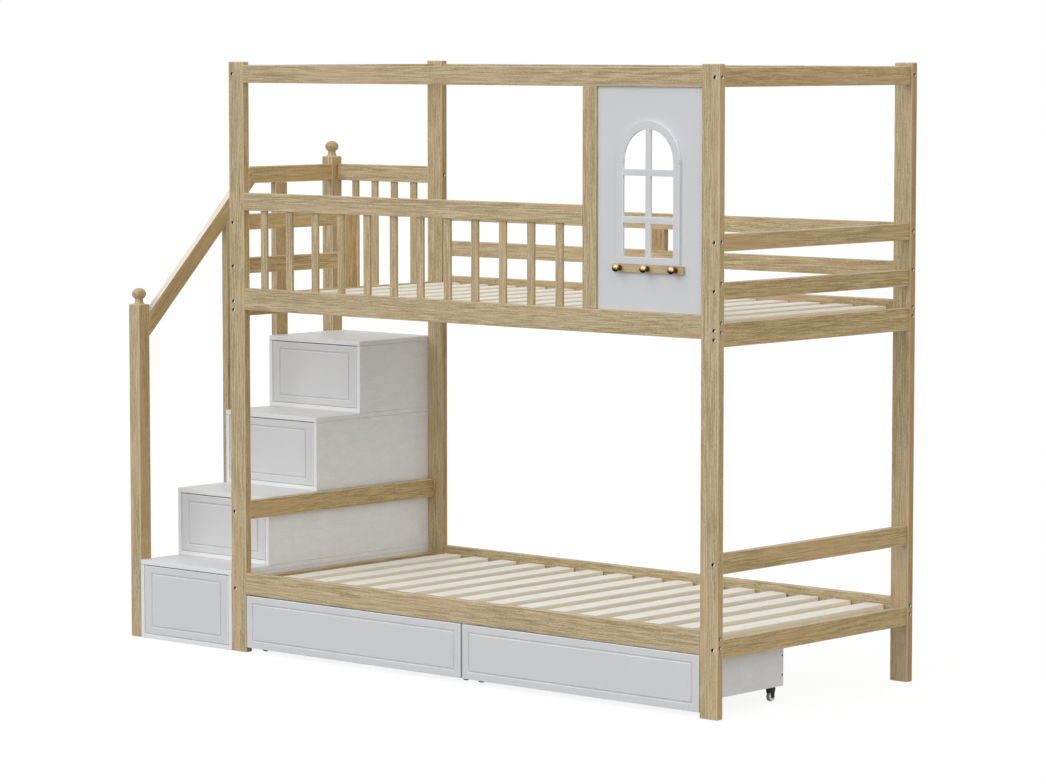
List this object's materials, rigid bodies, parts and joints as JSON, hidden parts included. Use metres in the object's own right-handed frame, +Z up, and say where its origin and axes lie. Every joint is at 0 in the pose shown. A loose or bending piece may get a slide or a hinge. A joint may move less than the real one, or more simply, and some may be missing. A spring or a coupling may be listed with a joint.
{
  "type": "bunk bed",
  "caption": "Bunk bed with storage steps, a handrail, an arched window board in the upper guard and rolling drawers under the lower bunk.",
  "frame": {"origin": "on the floor, in the middle of the box round the whole bed with its steps", "axes": "+X along the bed from the steps to the right end, +Y from the open front to the wall, +Z up"},
  "size_m": [2.5606, 1.0186, 1.953],
  "materials": {
    "oak": "satin lacquer",
    "slats": "planed, unlacquered",
    "white_board": "satin white paint on board",
    "brass": "polished",
    "wheel_plastic": "matte",
    "dark_steel": "burnished",
    "black_steel": "black coat"
  },
  "bodies": {
    "frame": {"post_front_left": "oak", "post_back_left": "oak", "post_front_right": "oak", "post_back_right": "oak", "front_top_rail": "oak", "front_upper_side_rail": "oak", "front_lower_side_rail": "oak", "back_top_rail": "oak", "back_upper_side_rail": "oak", "back_lower_side_rail": "oak", "left_top_rail": "oak", "left_upper_end_rail": "oak", "left_head_rail": "oak", "left_lower_end_rail": "oak", "left_guard_upper": "oak", "left_guard_lower": "oak", "right_top_rail": "oak", "right_upper_end_rail": "oak", "right_head_rail": "oak", "right_lower_end_rail": "oak", "right_guard_upper": "oak", "right_guard_lower": "oak", "left_guard_stile": "oak", "back_guard_upper": "oak", "back_guard_lower": "oak", "front_guard": "oak", "front_stile": "oak", "peg_bar": "oak", "handrail": "oak", "handrail_post_front": "oak", "handrail_post_back": "oak", "newel_front": "oak", "newel_back": "oak", "landing_guard": "oak", "upper_slats": "slats", "lower_slats": "slats", "window_board": "white_board", "window_frame": "white_board", "step_case_1": "white_board", "step_case_2": "white_board", "step_case_3": "white_board", "step_case_4": "white_board", "peg_left": "brass", "peg_middle": "brass", "peg_right": "brass"},
    "step_drawer_1": {"step_drawer_1": "white_board"},
    "step_drawer_2": {"step_drawer_2": "white_board"},
    "step_drawer_3": {"step_drawer_3": "white_board"},
    "step_drawer_4": {"step_drawer_4": "white_board"},
    "bed_drawer_left": {"bed_drawer_left": "white_board"},
    "bed_drawer_right": {"bed_drawer_right": "white_board"},
    "left_drawer_wheel_front_left": {"left_drawer_wheel_front_left": "wheel_plastic"},
    "left_drawer_wheel_front_right": {"left_drawer_wheel_front_right": "wheel_plastic"},
    "left_drawer_wheel_back_left": {"left_drawer_wheel_back_left": "wheel_plastic"},
    "left_drawer_wheel_back_right": {"left_drawer_wheel_back_right": "wheel_plastic"},
    "right_drawer_wheel_front_left": {"right_drawer_wheel_front_left": "wheel_plastic"},
    "right_drawer_wheel_front_right": {"right_drawer_wheel_front_right": "wheel_plastic"},
    "right_drawer_wheel_back_left": {"right_drawer_wheel_back_left": "wheel_plastic"},
    "right_drawer_wheel_back_right": {"right_drawer_wheel_back_right": "wheel_plastic"}
  },
  "joints": [
    {"name": "step_drawer_1_slide", "type": "slide", "parent": "frame", "child": "step_drawer_1", "axis": [0, -1, 0], "range_m": [0, 0.25]},
    {"name": "step_drawer_2_slide", "type": "slide", "parent": "frame", "child": "step_drawer_2", "axis": [0, -1, 0], "range_m": [0, 0.25]},
    {"name": "step_drawer_3_slide", "type": "slide", "parent": "frame", "child": "step_drawer_3", "axis": [0, -1, 0], "range_m": [0, 0.25]},
    {"name": "step_drawer_4_slide", "type": "slide", "parent": "frame", "child": "step_drawer_4", "axis": [0, -1, 0], "range_m": [0, 0.25]},
    {"name": "bed_drawer_left_slide", "type": "slide", "parent": "frame", "child": "bed_drawer_left", "axis": [0, -1, 0], "range_m": [0, 0.4]},
    {"name": "bed_drawer_right_slide", "type": "slide", "parent": "frame", "child": "bed_drawer_right", "axis": [0, -1, 0], "range_m": [0, 0.4]},
    {"name": "left_drawer_wheel_front_left_spin", "type": "hinge", "parent": "bed_drawer_left", "child": "left_drawer_wheel_front_left", "pos_m": [-0.6902, -0.4147, 0.015], "axis": [1, 0, 0], "continuous": true},
    {"name": "left_drawer_wheel_front_right_spin", "type": "hinge", "parent": "bed_drawer_left", "child": "left_drawer_wheel_front_right", "pos_m": [0.2123, -0.4147, 0.015], "axis": [1, 0, 0], "continuous": true},
    {"name": "left_drawer_wheel_back_left_spin", "type": "hinge", "parent": "bed_drawer_left", "child": "left_drawer_wheel_back_left", "pos_m": [-0.6902, -0.0897, 0.015], "axis": [1, 0, 0], "continuous": true},
    {"name": "left_drawer_wheel_back_right_spin", "type": "hinge", "parent": "bed_drawer_left", "child": "left_drawer_wheel_back_right", "pos_m": [0.2123, -0.0897, 0.015], "axis": [1, 0, 0], "continuous": true},
    {"name": "right_drawer_wheel_front_left_spin", "type": "hinge", "parent": "bed_drawer_right", "child": "right_drawer_wheel_front_left", "pos_m": [0.2783, -0.4147, 0.015], "axis": [1, 0, 0], "continuous": true},
    {"name": "right_drawer_wheel_front_right_spin", "type": "hinge", "parent": "bed_drawer_right", "child": "right_drawer_wheel_front_right", "pos_m": [1.1808, -0.4147, 0.015], "axis": [1, 0, 0], "continuous": true},
    {"name": "right_drawer_wheel_back_left_spin", "type": "hinge", "parent": "bed_drawer_right", "child": "right_drawer_wheel_back_left", "pos_m": [0.2783, -0.0897, 0.015], "axis": [1, 0, 0], "continuous": true},
    {"name": "right_drawer_wheel_back_right_spin", "type": "hinge", "parent": "bed_drawer_right", "child": "right_drawer_wheel_back_right", "pos_m": [1.1808, -0.0897, 0.015], "axis": [1, 0, 0], "continuous": true}
  ],
  "couplings": [
    {"joint": "left_drawer_wheel_front_left_spin", "follows": "bed_drawer_left_slide", "rad_per_m": 66.667},
    {"joint": "left_drawer_wheel_front_right_spin", "follows": "bed_drawer_left_slide", "rad_per_m": 66.667},
    {"joint": "left_drawer_wheel_back_left_spin", "follows": "bed_drawer_left_slide", "rad_per_m": 66.667},
    {"joint": "left_drawer_wheel_back_right_spin", "follows": "bed_drawer_left_slide", "rad_per_m": 66.667},
    {"joint": "right_drawer_wheel_front_left_spin", "follows": "bed_drawer_right_slide", "rad_per_m": 66.667},
    {"joint": "right_drawer_wheel_front_right_spin", "follows": "bed_drawer_right_slide", "rad_per_m": 66.667},
    {"joint": "right_drawer_wheel_back_left_spin", "follows": "bed_drawer_right_slide", "rad_per_m": 66.667},
    {"joint": "right_drawer_wheel_back_right_spin", "follows": "bed_drawer_right_slide", "rad_per_m": 66.667}
  ]
}
